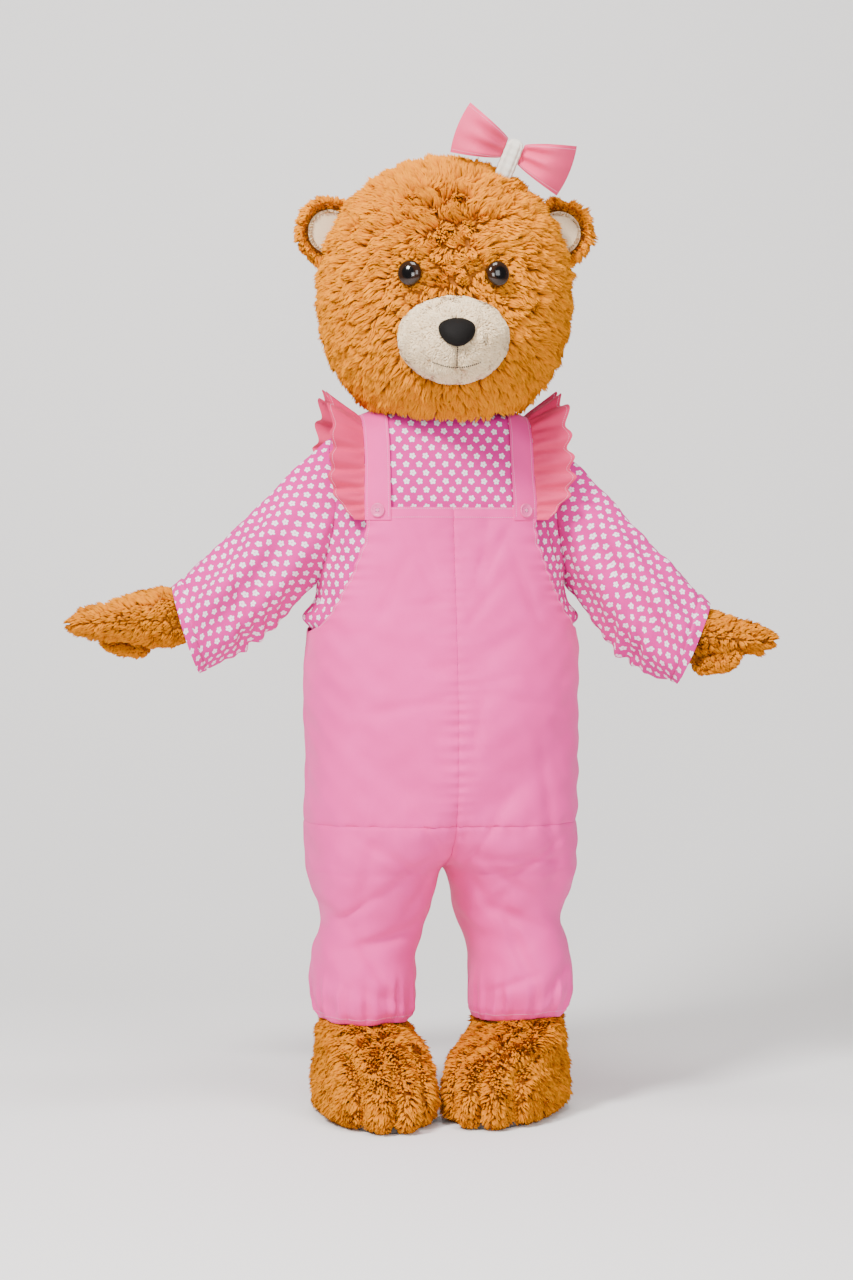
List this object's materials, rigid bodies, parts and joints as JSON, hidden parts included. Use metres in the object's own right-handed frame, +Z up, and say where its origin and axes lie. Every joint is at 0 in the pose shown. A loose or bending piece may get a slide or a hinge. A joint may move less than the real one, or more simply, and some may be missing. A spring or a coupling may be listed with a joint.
{
  "type": "bear mascot costume",
  "caption": "Plush bear costume with a hollow fur head and bow, a flower-print blouse, bib dungarees with frilled straps, fur mitts and fur boots, standing in its worn shape.",
  "frame": {"origin": "where the wearer holds the costume up: the base of the neck, between the shoulders, 1.33 m above the soles", "axes": "+Z up, +X to the wearer's left, the front faces -Y"},
  "size_m": [1.3485, 0.5548, 1.9269],
  "materials": {
    "gold_fur": "long curly pile",
    "cream_plush": "short pile",
    "black_felt": "matte felt",
    "eye_brown": "gloss",
    "rose_cotton": "printed cotton",
    "pink_twill": "cotton twill",
    "pink_button": "satin",
    "bow_pink": "satin cloth",
    "ivory_tape": "matte tape",
    "sole_grey": "matte"
  },
  "bodies": {
    "root": {"head_front": "gold_fur", "head_back": "gold_fur", "ear_left": "gold_fur", "ear_right": "gold_fur", "mitt_palm_left": "gold_fur", "mitt_back_left": "gold_fur", "thumb_left": "gold_fur", "mitt_palm_right": "gold_fur", "mitt_back_right": "gold_fur", "thumb_right": "gold_fur", "boot_left": "gold_fur", "boot_right": "gold_fur", "blouse_front": "rose_cotton", "blouse_back": "rose_cotton", "sleeve_left": "rose_cotton", "sleeve_right": "rose_cotton", "body_front_left": "pink_twill", "body_front_right": "pink_twill", "body_back_left": "pink_twill", "body_back_right": "pink_twill", "leg_front_left": "pink_twill", "leg_front_right": "pink_twill", "leg_back_left": "pink_twill", "leg_back_right": "pink_twill", "strap_left": "pink_twill", "strap_right": "pink_twill", "frill_left": "pink_twill", "frill_right": "pink_twill", "muzzle": "cream_plush", "ear_lining_left": "cream_plush", "ear_lining_right": "cream_plush", "nose": "black_felt", "eye_left": "eye_brown", "eye_right": "eye_brown", "button_left": "pink_button", "button_right": "pink_button", "bow_loop_left": "bow_pink", "bow_loop_right": "bow_pink", "bow_knot": "ivory_tape", "sole_left": "sole_grey", "sole_right": "sole_grey"}
  },
  "joints": []
}
